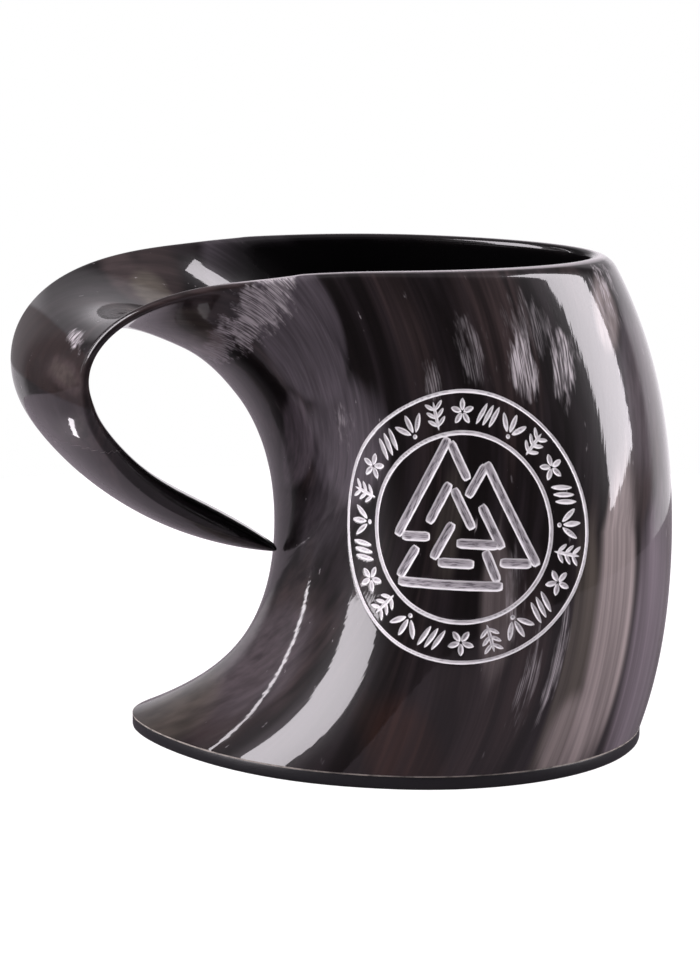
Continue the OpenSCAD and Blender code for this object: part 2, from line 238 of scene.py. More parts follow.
# Soft bands in the horn: centre and reach among the fibres (across, to the side, along) in
# millimetres, the share of the reach at full strength, then colour and strength
SOFT_BANDS = [
    # Beside the finger hole and low on the left
    ((42, 38, 48), (17, 40, 36), 0.7, "horn_smoke", 0.95),
    ((46, 38, 4), (22, 40, 28), 0.5, "horn_smoke", 0.75),
    ((44, 30, -15), (13, 40, 40), 0.4, "horn_smoke", 0.3),
    ((56, 20, -70), (12, 30, 45), 0.3, "horn_brown", 0.8),
    ((64, 20, -82), (8, 20, 16), 0.3, "horn_brown", 0.7),
    ((58, 20, -72), (12, 30, 34), 0.4, "horn_smoke", 0.4),
    ((29, 26, 0), (7, 40, 40), 0.5, "horn_lilac", 0.6),
    ((65, 8, -94), (9, 20, 20), 0.4, "horn_olive", 0.45),
    # Down the middle of the body
    ((96, 40, -42), (20, 25, 18), 0.4, "horn_brown", 0.35),
    ((84, 42, -50), (14, 25, 12), 0.2, "horn_amber", 0.4),
    ((97, 40, 24), (14, 30, 26), 0.2, "horn_brown", 0.35),
    ((82, 40, -12), (6, 20, 16), 0.3, "horn_olive", 0.3),
    ((96, 42, -22), (7, 20, 14), 0.3, "horn_pale", 0.35),
    # Down the bulging right side
    ((106, 38, -28), (9, 30, 22), 0.2, "horn_brown", 0.8),
    ((120.5, 34, -27), (6, 40, 27), 0.3, "horn_olive", 0.65),
    ((128.3, 29, -19), (7.2, 40, 28), 0.4, "horn_pale", 0.92),
    ((138, 24, -24), (7, 40, 28), 0.3, "horn_lilac", 1.0),
    ((124, 33, -35), (8, 20, 9), 0.4, "horn_pale", 0.6),
    # Near the foot, and high on the right
    ((88, 42, -44), (5, 25, 14), 0.3, "horn_dark", 0.6),
    ((133, 16, 2), (7, 30, 18), 0.3, "horn_brown", 0.9),
    ((132, 16, 6), (8, 20, 16), 0.3, "horn_smoke", 0.5),
    ((126, 18, 16), (5, 14, 7), 0.3, "horn_pale", 0.7),
    # Round the handle and over the loop
    (*UMBER_BAND, "horn_umber", 1.0),
    ((29, 20, 177), (8, 14, 12), 0.4, "horn_brown", 1.0),
    ((30, 20, 177), (6, 12, 8), 0.2, "horn_olive", 0.25),
    ((34, 25, 118), (14, 30, 14), 0.3, "horn_brown", 1.0),
    ((30, 26, 100), (16, 40, 20), 0.3, "horn_brown", 0.8),
    ((23, 21, 95), (8, 20, 16), 0.4, "horn_pale", 1.0),
    ((26, 26, 108), (11, 20, 18), 0.4, "horn_olive", 0.9),
]

# Ragged white flecks under the polish, one of them on the handle partly a painted highlight:
# centre and reach as above, density and strength
WHITE_FLECKS_AND_HIGHLIGHT = [
    # High on the left, over the loop and on the handle
    ((44, -42, 68), (20, 30, 17), 1.5, 1.0),
    ((34, -35, 77), (20, 30, 18), 1.7, 1.0),
    ((24, -24, 87), (20, 30, 18), 1.5, 1.0),
    # On the handle, a white patch that is partly fleck and partly painted highlight
    ((33, -20, 160), (8, 12, 10), 1.3, 1.0),
    # Below the rim
    ((90, -39, 18), (9, 25, 13), 1.0, 0.35),
    ((102, -36, 13), (7, 25, 9), 1.6, 1.0),
    ((113, -31, 12), (7, 25, 10), 1.3, 1.0),
    ((107, -34, 18), (14, 25, 11), 1.0, 0.3),
    ((77, -42, 15), (6, 25, 9), 1.0, 0.5),
    ((47, -38, 10), (8, 25, 15), 1.0, 0.4),
    ((127, -15, 18), (6, 14, 10), 1.0, 0.6),
    # Low on the right
    ((114.5, -37, -27), (4, 25, 15), 1.2, 0.8),
    ((107, -40, -30), (5, 25, 14), 1.1, 0.7),
    ((100, -42, -20), (5, 25, 14), 1.0, 0.5),
    # On the back
    ((60, 30, 20), (18, 30, 20), 1.0, 0.6),
    ((98, 34, -24), (14, 30, 17), 1.0, 0.6),
]


def horn_body(tree, grain, place, colours):
    """Colour of dark keratin with smoky and warm streaks and the soft bands among its fibres."""
    smoky = add_node(
        tree, "ShaderNodeMapRange", {0: grain["band"], 1: 0.4, 2: 0.7, 4: 0.8}, **EASED
    )
    colour = add_node(
        tree, "ShaderNodeMix",
        {0: smoky, 6: opaque(colours.horn_dark), 7: opaque(colours.horn_grey)}, 2, **BLEND,
    )
    warm = add_node(tree, "ShaderNodeMapRange", {0: grain["broad"], 1: 0.46, 2: 0.66}, **EASED)
    fine = add_node(tree, "ShaderNodeMapRange", {0: grain["streak"], 1: 0.3, 2: 0.75}, **EASED)
    warm = add_node(tree, "ShaderNodeMath", {0: warm, 1: fine}, operation="MULTIPLY")
    colour = add_node(
        tree, "ShaderNodeMix", {0: warm, 6: colour, 7: opaque(colours.horn_brown)}, 2, **BLEND
    )
    veil = add_node(
        tree, "ShaderNodeMapRange", {0: grain["streak"], 1: 0.25, 2: 0.65, 3: 0.6}, **EASED
    )
    for centre, reach, core, name, amount in SOFT_BANDS:
        near = zone(tree, place, centre, reach, core)
        soft = add_node(tree, "ShaderNodeMath", {0: grain["band"], 1: 0.8, 2: near}, **MULTIPLY_ADD)
        soft = add_node(
            tree, "ShaderNodeMapRange", {0: soft, 1: 0.55, 2: 1.35, 4: amount}, **EASED
        )
        soft = add_node(tree, "ShaderNodeMath", {0: soft, 1: veil}, operation="MULTIPLY")
        colour = add_node(
            tree, "ShaderNodeMix", {0: soft, 6: colour, 7: opaque(getattr(colours, name))}, 2,
            **BLEND,
        )
    lines = add_node(
        tree, "ShaderNodeMapRange", {0: grain["line"], 1: 0.3, 2: 0.7, 3: 0.84, 4: 1.2}, **EASED
    )
    return add_node(
        tree, "ShaderNodeVectorMath", {0: colour, "Scale": lines}, operation="SCALE"
    )


def flecked_and_highlit(tree, grain, fibre, colour, colours):
    """The horn's colour with the ragged white flecks over it, scratched along the fibres, and a
    painted highlight on the handle drawn the same way.
    """
    scratch = add_node(
        tree, "ShaderNodeMapRange", {0: grain["brush"], 1: 0.36, 2: 0.66, 3: 0.15}, **EASED
    )
    for centre, reach, density, amount in WHITE_FLECKS_AND_HIGHLIGHT:
        near = zone(tree, fibre, centre, reach, 0.0)
        near = add_node(tree, "ShaderNodeMath", {0: near, 1: density}, operation="MULTIPLY")
        torn = add_node(
            tree, "ShaderNodeMath", {0: grain["cloud"], 1: 2.4, 2: near}, **MULTIPLY_ADD
        )
        torn = add_node(
            tree, "ShaderNodeMapRange", {0: torn, 1: 1.7, 2: 2.5, 4: amount}, **EASED
        )
        fleck_and_highlight = add_node(tree, "ShaderNodeMath", {0: torn, 1: scratch}, operation="MULTIPLY")
        colour = add_node(
            tree, "ShaderNodeMix", {0: fleck_and_highlight, 6: colour, 7: opaque(colours.horn_white_and_highlight)}, 2, **BLEND
        )
    return colour


def chalked(tree, edge, stroke, colour, colours):
    """The horn's colour with chalk in the cuts, bright at their edges and worn in the middle, and
    the share of chalk; edge is the distance from a cut's edge, stroke the place on the cut."""
    # The chalk lies in streaks along a cut, 0.3 mm wide and 2.5 mm long, others on each cut
    drawn = add_node(tree, "ShaderNodeMapping", {0: stroke, "Scale": (1 / 0.3, 1 / 2.5, 7)})
    grain = add_node(tree, "ShaderNodeTexNoise", {0: drawn, "Scale": 1, "Detail": 3})
    chalk = add_node(tree, "ShaderNodeMath", {0: grain, 1: 0.16, 2: edge}, **MULTIPLY_ADD)
    chalk = add_node(tree, "ShaderNodeMapRange", {0: chalk, 1: 0.16, 2: 0.02}, **EASED)
    middle = add_node(tree, "ShaderNodeMapRange", {0: edge, 1: -0.12, 2: -0.65}, **EASED)
    worn = add_node(tree, "ShaderNodeMapRange", {0: grain, 1: 0.42, 2: 0.66, 4: 0.9}, **EASED)
    worn = add_node(tree, "ShaderNodeMath", {0: worn, 1: middle}, operation="MULTIPLY")
    rubbed = add_node(
        tree, "ShaderNodeMix",
        {0: middle, 6: opaque(colours.filler_edge), 7: opaque(colours.filler)}, 2, **BLEND,
    )
    rubbed = add_node(
        tree, "ShaderNodeMix", {0: worn, 6: rubbed, 7: opaque(colours.filler_worn)}, 2, **BLEND
    )
    return add_node(tree, "ShaderNodeMix", {0: chalk, 6: colour, 7: rubbed}, 2, **BLEND), chalk


def horn_material(colours):
    """Buffalo horn, ground and lacquered: dark keratin with smoky, brown and pale fibre bands that
    run along the horn, ragged white flecks, a painted highlight along the lip and on the handle,
    painted shade on the inner wall, and chalk rubbed into the carving."""
    material, tree, shader = new_material("lacquered_buffalo_horn")
    fibre = add_node(tree, "ShaderNodeAttribute", output="Vector", attribute_name="fibre")
    carved = add_node(tree, "ShaderNodeAttribute", output="Vector", attribute_name="carved")
    stroke = add_node(tree, "ShaderNodeAttribute", output="Vector", attribute_name="stroke")
    grain = {name: fibre_noise(tree, fibre, *values) for name, values in GRAINS.items()}

    # The soft bands are the same on both sides of the horn
    run = add_node(tree, "ShaderNodeSeparateXYZ", {0: fibre}).node.outputs
    aside = add_node(tree, "ShaderNodeMath", {0: run["Y"]}, operation="ABSOLUTE")
    both = add_node(tree, "ShaderNodeCombineXYZ", {0: run["X"], 1: aside, 2: run["Z"]})

    # Edge distance of the cuts, painted highlight on the lip, painted shade inside
    edge, lip, inside = add_node(tree, "ShaderNodeSeparateXYZ", {0: carved}).node.outputs
    colour = horn_body(tree, grain, both, colours)
    colour = flecked_and_highlit(tree, grain, fibre, colour, colours)
    colour, chalk = chalked(tree, edge, stroke, colour, colours)
    # The lip's edge gets white as a painted highlight, the inner wall near black as painted shade
    for share, over in ((lip, colours.horn_white_and_highlight), (inside, colours.inside_shade)):
        colour = add_node(
            tree, "ShaderNodeMix", {0: share, 6: colour, 7: opaque(over)}, 2, **BLEND
        )

    dull = add_node(
        tree, "ShaderNodeMath", {0: zone(tree, both, *UMBER_BAND), 1: 0.6, 2: chalk}, **MULTIPLY_ADD
    )
    rough = add_node(tree, "ShaderNodeMapRange", {0: dull, 3: 0.32, 4: 0.7})
    lacquer = add_node(tree, "ShaderNodeMapRange", {0: dull, 3: 1.0, 4: 0.0})
    gloss = add_node(
        tree, "ShaderNodeMapRange", {0: grain["hair"], 1: 0.35, 2: 0.75, 3: 0.02, 4: 0.07}
    )
    height = add_node(
        tree, "ShaderNodeMath", {0: grain["streak"], 1: 2.0, 2: grain["hair"]}, **MULTIPLY_ADD
    )
    relief = add_node(
        tree, "ShaderNodeBump", {"Height": height, "Strength": 0.15, "Distance": 0.05 * MM}
    )
    for value, name in (
        (colour, "Base Color"), (rough, "Roughness"), (relief, "Normal"), (relief, "Coat Normal"),
        (lacquer, "Coat Weight"), (gloss, "Coat Roughness"),
    ):
        tree.links.new(value, shader.inputs[name])
    shader.inputs["Coat IOR"].default_value = 1.5
    shader.inputs["IOR"].default_value = 1.55
    shader.inputs["Specular IOR Level"].default_value = 0.12
    return material


def satin_material(name, colour, roughness, speck, grit):
    """A moulded or cast surface with a fine, even texture; speck is how bright its specks are
    beside the rest, grit its grain in millimetres."""
    material, tree, shader = new_material(name)
    position = add_node(tree, "ShaderNodeTexCoord", output="Object")
    grain = add_node(
        tree, "ShaderNodeTexNoise", {0: position, "Scale": 1 / (grit * MM), "Detail": 4}
    )
    specks = add_node(tree, "ShaderNodeMapRange", {0: grain, 1: 0.4, 2: 0.75}, **EASED)
    specked = opaque([c * speck for c in colour])
    shade = add_node(tree, "ShaderNodeMix", {0: specks, 6: opaque(colour), 7: specked}, 2, **BLEND)
    rough = add_node(
        tree, "ShaderNodeMapRange",
        {0: grain, 1: 0.3, 2: 0.7, 3: roughness * 0.85, 4: roughness * 1.15},
    )
    relief = add_node(
        tree, "ShaderNodeBump", {"Height": grain, "Strength": 0.15, "Distance": 0.05 * MM}
    )
    for value, socket in ((shade, "Base Color"), (rough, "Roughness"), (relief, "Normal")):
        tree.links.new(value, shader.inputs[socket])
    return material


def smooth_copy(name, node, levels, keep_sharp_below=None):
    """A merged copy of a node's mesh as quads, subdivided; edges below a height stay sharp."""
    mesh = bpy.data.meshes.new(name)
    bm = bmesh.new()
    bm.from_mesh(node.data)
    bmesh.ops.remove_doubles(bm, verts=bm.verts, dist=TINY)
    bmesh.ops.join_triangles(
        bm, faces=bm.faces, angle_face_threshold=math.radians(60),
        angle_shape_threshold=math.pi, topology_influence=1.0,
    )
    crease = bm.edges.layers.float.new("crease_edge")
    for edge in bm.edges:
        if keep_sharp_below and max(v.co.z for v in edge.verts) < keep_sharp_below:
            if len({round(f.normal.z) for f in edge.link_faces}) > 1:
                edge[crease] = 1
                edge.smooth = False
    for face in bm.faces:
        face.smooth = True
    bm.to_mesh(mesh)
    bm.free()
    piece = bpy.data.objects.new(name, mesh)
    bpy.context.scene.collection.objects.link(piece)
    if levels:
        subdivided(piece, levels)
    return piece


def subdivided(piece, levels):
    """Subdivides a piece and keeps the result as its mesh."""
    modifier = piece.modifiers.new("smooth", "SUBSURF")
    modifier.levels = levels
    modifier.render_levels = levels
    evaluated = piece.evaluated_get(bpy.context.evaluated_depsgraph_get())
    mesh = bpy.data.meshes.new_from_object(evaluated)
    piece.modifiers.clear()
    old = piece.data
    piece.data = mesh
    mesh.name = piece.name
    bpy.data.meshes.remove(old)


def discard(piece):
    """Removes a helper piece and its mesh."""
    mesh = piece.data
    bpy.data.objects.remove(piece)
    bpy.data.meshes.remove(mesh)


def vectors_of(mesh, name):
    """A mesh's points ("co", in metres) or their normals ("normal"), as an array of rows."""
    values = np.zeros(len(mesh.vertices) * 3)
    mesh.vertices.foreach_get(name, values)
    return values.reshape(-1, 3)


def keep_on_points(mesh, name, rows):
    """Keeps a row of three numbers at every point of a mesh, for its material to read."""
    values = mesh.attributes.new(name, "FLOAT_VECTOR", "POINT")
    values.data.foreach_set("vector", rows.astype(np.float32).ravel())


def eased(t):
    """A smooth step from 0 to 1."""
    t = np.clip(t, 0, 1)
    return t * t * (3 - 2 * t)


# The cup's build in millimetres: height, half the length and depth of its foot, and how much less
# deep to each side its mouth is
HEIGHT = 111.5
HALF_LENGTH = 59
HALF_DEPTH = 47
NARROWING = 10.5

# Degrees by which the handle is turned round the upright axis
HANDLE_TURN = 20

# The finger hole's centre and radius, and how far the centre of an arc moves left for each
# millimetre that its radius is larger
HOLE_X = -50
HOLE_Z = 72
HOLE_RADIUS = 27.0
DRIFT = 0.23

# Height below which the fibres lean towards the foot
LEAN_HEIGHT = 55

# Millimetres along the fibres for each radian, and to the side for half the horn's depth
ALONG = 70
ASIDE = 42


def fibre_run(points):
    """Where each point lies among the horn's fibres, in millimetres: across, to the side, along.
    The fibres are arcs that open out from the finger hole."""
    x, y, z = (points / MM).T
    level = z / HEIGHT
    share = (0.17 - x / HALF_LENGTH) / 0.76
    angle = -np.radians(HANDLE_TURN) * eased(share) * eased((level - 0.3) / 0.38)
    x, y = x * np.cos(angle) - y * np.sin(angle), x * np.sin(angle) + y * np.cos(angle)
    near = x - HOLE_X - DRIFT * HOLE_RADIUS
    rise = z - HOLE_Z
    rest = 1 - DRIFT ** 2
    radius = (near * DRIFT + np.sqrt((near * DRIFT) ** 2 + rest * (near ** 2 + rise ** 2))) / rest
    centre = HOLE_X - DRIFT * (radius - HOLE_RADIUS)
    turn = np.arctan2(rise, x - centre)
    # The lean grows outwards from radius 55 to 105 and is a little less beyond that
    lean = 0.36 * eased((radius - 55) / 50) - 0.14 * eased((radius - 105) / 25)
    radius = radius - lean * np.clip(LEAN_HEIGHT - z, 0, None)
    side = y / (HALF_DEPTH - NARROWING * np.clip(level, 0, 1)) * ASIDE
    return np.stack([radius, side, turn * ALONG], axis=1)


# Carving, drawn flat in millimetres: across the medallion and up.
# Bars of the knot, hand-cut, so no two have quite the same length: x and y of both ends
KNOT_BARS = [
    (-3.3, 19.1, -14.8, -2.2), (-2.8, 18.3, 1.4, 10.2), (4.4, 4.9, 9.0, -4.4),
    (-13.6, -2.1, -7.1, -2.0), (-1.1, -3.2, 8.3, -3.7),
    (5.7, 13.9, 16.7, -8.4), (5.5, 13.3, 1.3, 6.6), (-2.0, 1.1, -6.4, -6.7),
    (-5.2, -7.4, 2.8, -7.7), (8.4, -7.4, 15.4, -7.9),
    (-2.8, 9.6, -7.5, 0.9), (-1.9, 8.4, 2.5, -0.2), (-10.0, -4.2, -14.0, -11.0),
    (5.2, -4.8, 7.9, -11.5), (-14.2, -11.9, 9.0, -12.5),
]

# Places for the small motifs between the rings
MOTIF_PLACES = 24

# Distance that stands for a point far from every cut, in millimetres
FAR_OFF = 9.0


def turned(point, angle):
    """A flat point turned about the origin."""
    c, s = math.cos(angle), math.sin(angle)
    return (point[0] * c - point[1] * s, point[0] * s + point[1] * c)


# A cut is ("leaf", from, to, width), ("bar", from, to, width), ("ring", centre, radius, width) or
# ("dot", centre, radius, 0). The motifs stand upright at the origin, half is half their height and
# leaf the width of a gouge cut.
def flower(half, leaf):
    """Five petals."""
    petals = []
    for k in range(5):
        angle = math.radians(72 * k)
        petals.append(
            ("leaf", turned((0, half * 0.1), angle), turned((0, half), angle), leaf * 1.05)
        )
    return petals


def sprig(half, leaf):
    """Three pairs of leaves on a stem."""
    pairs = [
        ("leaf", (side * half * 0.72, base + half * 0.6), (side * half * 0.02, base), leaf * 0.72)
        for side in (-1, 1)
        for base in (-half * 0.8, -half * 0.2, half * 0.4)
    ]
    return pairs + [("leaf", (0, -half * 1.1), (0, half * 1.05), leaf * 0.65)]


def fan(half, leaf):
    """Three leaves that spread above a dot."""
    leaves = []
    for lean in (-38, 0, 38):
        ends = [turned((0, half * reach), math.radians(lean)) for reach in (0.35, 1.8)]
        leaves.append(("leaf", *((x, y - half * 0.85) for x, y in ends), leaf))
    return leaves + [("dot", (0, -half * 0.82), leaf * 0.42, 0)]


def strokes(half, leaf):
    """Three slanted strokes."""
    return [
        ("leaf", (x - half * 0.3, -half * 0.85), (x + half * 0.3, half * 0.85), leaf * 0.9)
        for x in (-half * 0.55, 0, half * 0.55)
    ]


MOTIFS = (flower, sprig, fan, strokes)


def medallion_cuts(sizes):
    """All cuts of the medallion, each with its depth, in millimetres."""
    mm = {name: getattr(sizes, name) / MM for name in (
        "outer_ring", "inner_ring", "outer_line", "inner_line", "motif_height", "leaf_width",
        "knot_line", "ring_depth", "leaf_depth", "knot_depth",
    )}
    cuts = [
        (("ring", (0, 0), mm["outer_ring"], mm["outer_line"]), mm["ring_depth"]),
        (("ring", (0, 0), mm["inner_ring"], mm["inner_line"]), mm["ring_depth"]),
    ]
    middle = (mm["outer_ring"] + mm["inner_ring"]) / 2
    for place in range(MOTIF_PLACES):
        angle = math.radians(360 / MOTIF_PLACES * place)
        motif = MOTIFS[place % len(MOTIFS)]
        for cut in motif(mm["motif_height"] / 2, mm["leaf_width"]):
            moved = [
                turned((p[0], p[1] + middle), angle) if isinstance(p, tuple) else p for p in cut
            ]
            cuts.append((tuple(moved), mm["leaf_depth"]))
    for x0, y0, x1, y1 in KNOT_BARS:
        cuts.append((("bar", (x0, y0), (x1, y1), mm["knot_line"]), mm["knot_depth"]))
    return cuts


def cut_distance(cut, flat):
    """Signed distance of flat points from a cut's edge, negative inside the cut, and how far the
    points lie beside the cut's line and along it."""
    kind, first, second, width = cut
    if kind in ("ring", "dot"):
        x, y = (flat - np.array(first)).T
        away = np.hypot(x, y)
        edge = np.abs(away - second) - width / 2 if kind == "ring" else away - second
        return edge, away - second, np.arctan2(y, x) * second
    start, end = np.array(first), np.array(second)
    run = math.dist(start, end)
    ahead = (end - start) / run
    along = (flat - start) @ ahead
    aside = (flat - start) @ np.array((-ahead[1], ahead[0]))
    if kind == "leaf":
        t = np.clip(along / run, 0, 1)
        past = np.abs(along - t * run)
        return np.hypot(aside, past) - width / 2 * (4 * t * (1 - t)) ** 0.7, aside, along
    # A bar is narrower at its ends, where the gouge goes in and comes out
    inset = np.minimum(along, run - along)
    half = width / 2 * (0.35 + 0.65 * eased(inset / (0.6 * width) * 0.5 + 0.5 * (inset > 0)))
    return np.maximum(np.abs(aside) - half, -inset), aside, along


def carving_at(cuts, flat):
    """Signed distance from the nearest cut's edge, depth there, and the place on that cut: beside
    its line, along it, and which cut it is."""
    nearest = np.full(len(flat), FAR_OFF)
    depth = np.zeros(len(flat))
    place = np.zeros((len(flat), 3))
    for number, (cut, deepest) in enumerate(cuts):
        away, aside, along = cut_distance(cut, flat)
        closer = away < nearest
        place[closer] = np.stack([aside, along, np.full(len(flat), number)], axis=1)[closer]
        sunk = np.clip(-away / (cut[3] / 2 if cut[3] else cut[2]), 0, 1)
        depth = np.maximum(depth, deepest * sunk ** 0.8)
        nearest = np.minimum(nearest, away)
    return nearest, depth, place


def flat_place(points, sizes):
    """Places on the medallion, in millimetres across and up, for points on the horn's front."""
    x, y, z = points.T
    start = math.asin((sizes.medallion_x - sizes.wrap_x) / sizes.wrap_radius)
    angle = np.arctan2(x - sizes.wrap_x, -y)
    across = (angle - start) * sizes.wrap_radius
    return np.stack([across / MM, (z - sizes.medallion_height) / MM], axis=1)


# Where the cup's upright axis crosses X, in millimetres
CUP_X = 8


def outwardness(points, normals):
    """How far each normal looks away from the cup's upright axis, from -1 to 1."""
    x, y = (points[:, :2] / MM).T
    return (normals[:, 0] * (x - CUP_X) + normals[:, 1] * y) / np.hypot(x - CUP_X, y)


def inside_shade_share(points, normals):
    """Painted shade: 1 on the inner wall of the cup, easing to 0 towards the handle's trough."""
    x, _, z = (points / MM).T
    inner = eased((0.2 - outwardness(points, normals)) / 0.5)
    return inner * eased((x + 52) / 20) * eased((118 - z) / 10)


def lip_highlight_share(points, normals):
    """Painted highlight, and partly the thin horn's own paleness: 1 on the outer edge of the sawn
    lip, easing to 0 away from it and towards the handle."""
    x, _, z = (points / MM).T
    outer = eased((outwardness(points, normals) + 0.3) / 0.25)
    crest = eased((normals[:, 2] - 0.86) / 0.12) * outer
    return 0.85 * crest * eased((z - 100) / 4) * eased((x + 34) / 10)


# Rounds of refinement: how far outside and inside a cut's edge they reach, and the size above
# which a face there is split, in millimetres
REFINEMENTS = ((1.08, 9, 0.9), (0.57, 0.5, 0.45), (0.21, 0.24, 0.26))

# How far outside the outer ring the horn is refined and settled, over what width the settling
# eases out, and how far out the finer surface goes, in millimetres
REFINED_MARGIN = 3
SETTLED_MARGIN = 9
SETTLED_EASE = 7
FINE_MARGIN = 20

# Subdivision levels of the finer surface
FINE_LEVELS = 5

# What Y of its normal makes a face belong to the front, and to the finer surface
FRONT_FACING = -0.25
FINE_FACING = -0.05


def refine(piece, cuts, sizes):
    """Splits the faces on the horn's front that lie near a cut."""
    reach = sizes.outer_ring / MM + REFINED_MARGIN
    bm = bmesh.new()
    bm.from_mesh(piece.data)
    for outside, inside, size in REFINEMENTS:
        faces = [
            f for f in bm.faces if f.normal.y < FRONT_FACING and f.calc_center_median().y < 0
        ]
        flat = flat_place(np.array([f.calc_center_median() for f in faces]), sizes)
        away = carving_at(cuts, flat)[0]
        within = np.hypot(flat[:, 0], flat[:, 1]) < reach
        edges = set()
        for face, d, ok in zip(faces, away, within):
            if ok and -inside < d < outside and math.sqrt(face.calc_area()) > size * MM:
                edges.update(face.edges)
        # Listed in the mesh's own order, so that every run gives the same mesh
        split = [edge for edge in bm.edges if edge in edges]
        bmesh.ops.subdivide_edges(bm, edges=split, cuts=1, use_grid_fill=True)
    bm.to_mesh(piece.data)
    bm.free()


def fine_surface(cage, sizes):
    """A search tree of the horn's smooth surface round the medallion, much finer than the piece;
    the cage that it's made from is used up."""
    reach = sizes.outer_ring / MM + FINE_MARGIN
    bm = bmesh.new()
    bm.from_mesh(cage.data)
    spare = []
    for face in bm.faces:
        centre = face.calc_center_median()
        flat = flat_place(np.array([centre]), sizes)[0]
        if face.normal.y > FINE_FACING or centre.y > 0 or math.hypot(*flat) > reach:
            spare.append(face)
    bmesh.ops.delete(bm, geom=spare, context="FACES")
    bm.to_mesh(cage.data)
    bm.free()
    subdivided(cage, FINE_LEVELS)
    bm = bmesh.new()
    bm.from_mesh(cage.data)
    tree = BVHTree.FromBMesh(bm)
    bm.free()
    discard(cage)
    return tree


def carve(piece, surface, sizes):
    """Refines the horn round the cuts, settles it on the finer surface and sinks the cuts, then
    keeps on its points what the material reads of them."""
    cuts = medallion_cuts(sizes)
    refine(piece, cuts, sizes)
    mesh = piece.data
    points = vectors_of(mesh, "co")
    normals = vectors_of(mesh, "normal")
    flat = flat_place(points, sizes)
    from_centre = np.hypot(flat[:, 0], flat[:, 1])
    reach = sizes.outer_ring / MM + SETTLED_MARGIN
    front = (normals[:, 1] < FRONT_FACING) & (points[:, 1] < 0) & (from_centre < reach)
    carved = np.full((len(points), 3), FAR_OFF)
    stroke = np.zeros((len(points), 3))
    carved[front, 0], depth, stroke[front] = carving_at(cuts, flat[front])
    weight = eased((reach - from_centre[front]) / SETTLED_EASE)
    for index, hold, sink in zip(np.nonzero(front)[0], weight, depth):
        place, normal = surface.find_nearest(Vector(points[index]))[:2]
        settled = Vector(points[index]).lerp(place, hold)
        points[index] = settled - normal * sink * MM
    mesh.vertices.foreach_set("co", points.ravel())
    mesh.update()
    carved[:, 1] = lip_highlight_share(points, normals)
    carved[:, 2] = inside_shade_share(points, normals)
    keep_on_points(mesh, "carved", carved)
    keep_on_points(mesh, "stroke", stroke)


class HORNCUP_OT_horn(bpy.types.Operator):
    """Adds the polished horn with its handle and carving"""

    bl_idname = "horncup.horn"
    bl_label = "Horn"

    def execute(self, context):
        sizes, colours = context.scene.horn_cup_sizes, context.scene.horn_cup_colours
        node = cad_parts["horn"]
        # Only the horn's flat foot lies below this height, and its edges stay sharp
        sharp_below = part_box("horn")[0].z + 0.1 * MM
        cage = smooth_copy("horn_cage", node, 0, sharp_below)
        piece = smooth_copy("carved_horn", node, sizes.smoothing, sharp_below)
        carve(piece, fine_surface(cage, sizes), sizes)
        mesh = piece.data
        keep_on_points(mesh, "fibre", fibre_run(vectors_of(mesh, "co")))
        mesh.materials.append(horn_material(colours))
        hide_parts("horn")
        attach(piece, "root")
        return {"FINISHED"}


def add_plate(sizes, colours):
    """Cast black acrylic, sawn and rubbed down: an even satin with a soft lower arris."""
    plate = smooth_copy("base_plate_black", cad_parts["base_plate"], 0)
    bm = bmesh.new()
    bm.from_mesh(plate.data)
    bmesh.ops.dissolve_limit(
        bm, angle_limit=math.radians(1), verts=bm.verts, edges=bm.edges, delimit=set()
    )
    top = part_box("base_plate")[1].z
    for height, width in ((0, sizes.plate_bevel), (top, sizes.plate_arris)):
        edges = [e for e in bm.edges if all(abs(v.co.z - height) < TINY for v in e.verts)]
        bmesh.ops.bevel(
            bm, geom=edges, offset=width, offset_type="OFFSET", affect="EDGES", segments=3,
            profile=0.5, material=-1, clamp_overlap=True,
        )
    for face in bm.faces:
        face.smooth = True
    bm.to_mesh(plate.data)
    bm.free()
    plate.data.set_sharp_from_angle(angle=math.radians(40))
    plate.data.materials.append(
        satin_material("satin_black_acrylic", colours.plate, roughness=0.35, speck=1.5, grit=0.4)
    )
    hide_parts("base_plate")
    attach(plate, "root")


def colour_glue(colours):
    """Two-part adhesive, squeezed thin and gone slightly yellow, with darker specks."""
    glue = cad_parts["glue_line"]
    glue.data.materials.clear()
    glue.data.materials.append(
        satin_material("pale_epoxy_adhesive", colours.glue, roughness=0.5, speck=0.25, grit=2.5)
    )


def add_bead(colours):
    """Food-safe sealant, tooled wet, so it is smooth and shiny."""
    bead = smooth_copy("seal_bead_smooth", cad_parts["seal_bead"], 1)
    bead.data.materials.append(
        satin_material("dark_sealant", colours.bead, roughness=0.25, speck=1.3, grit=1.5)
    )
    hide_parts("seal_bead")
    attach(bead, "root")


class HORNCUP_OT_base(bpy.types.Operator):
    """Adds the base plate and the sealing bead, and gives the adhesive line its material"""

    bl_idname = "horncup.base"
    bl_label = "Base"

    def execute(self, context):
        sizes, colours = context.scene.horn_cup_sizes, context.scene.horn_cup_colours
        add_plate(sizes, colours)
        colour_glue(colours)
        add_bead(colours)
        return {"FINISHED"}


# How brightly the floor glows for the camera, beside a wall of 1
FLOOR_GLOW = 0.96

# Where the middle of the wall lies: 5 degrees to the right of straight behind the cup
WALL_MIDDLE = (0.087, 0.996, 0.0)

# Width of the camera's sensor in millimetres, and the nearest that it sees in metres
SENSOR_WIDTH = 36
NEAREST_SEEN = 0.01


def seen_from(azimuth, elevation):
    """Direction from the cup at an angle round it from the front and an angle above it, in
    radians."""
    level = math.cos(elevation)
    return Vector((math.sin(azimuth) * level, -math.cos(azimuth) * level, math.sin(elevation)))


